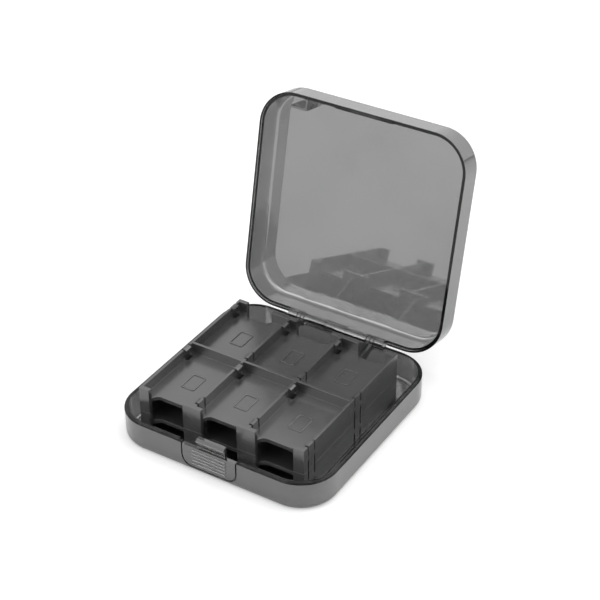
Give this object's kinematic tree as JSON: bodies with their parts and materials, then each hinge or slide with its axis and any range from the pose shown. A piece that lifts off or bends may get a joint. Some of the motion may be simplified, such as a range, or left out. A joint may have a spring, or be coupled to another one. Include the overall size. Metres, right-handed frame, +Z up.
{
  "type": "game cartridge case",
  "caption": "Rounded square hinged case of smoky clear plastic with stacked double-sided card trays that turn up like pages, and a sprung front latch.",
  "frame": {"origin": "centre of the base's underside, on the table", "axes": "+X to the right along the front, +Y from the latch to the hinge, +Z up; the lid is open as pictured"},
  "size_m": [0.09, 0.121, 0.1004],
  "materials": {
    "smoky_shell": "polished, see-through grey",
    "dark_tray": "smooth, satin gloss",
    "pin_steel": "drawn wire"
  },
  "bodies": {
    "base": {"base": "smoky_shell", "hinge_pin": "pin_steel"},
    "lower_tray": {"lower_tray": "dark_tray"},
    "upper_tray": {"upper_tray": "dark_tray"},
    "lid": {"lid": "smoky_shell"},
    "latch": {"latch": "smoky_shell"}
  },
  "joints": [
    {"name": "lower_tray_turn", "type": "hinge", "parent": "base", "child": "lower_tray", "pos_m": [0, 0.0454, 0.01205], "axis": [-1, 0, 0], "range_deg": [0, 30]},
    {"name": "upper_tray_turn", "type": "hinge", "parent": "lower_tray", "child": "upper_tray", "pos_m": [0, 0.0454, 0.01205], "axis": [-1, 0, 0], "range_deg": [0, 43]},
    {"name": "lid_hinge", "type": "hinge", "parent": "upper_tray", "child": "lid", "pos_m": [0, 0.0454, 0.01205], "axis": [-1, 0, 0], "range_deg": [-102, 0]},
    {"name": "latch_press", "type": "hinge", "parent": "base", "child": "latch", "pos_m": [0, -0.0415, 0.00345], "axis": [-1, 0, 0], "range_deg": [0, 6], "stiffness_Nm_per_rad": 0.1, "springref_deg": -5.73}
  ]
}
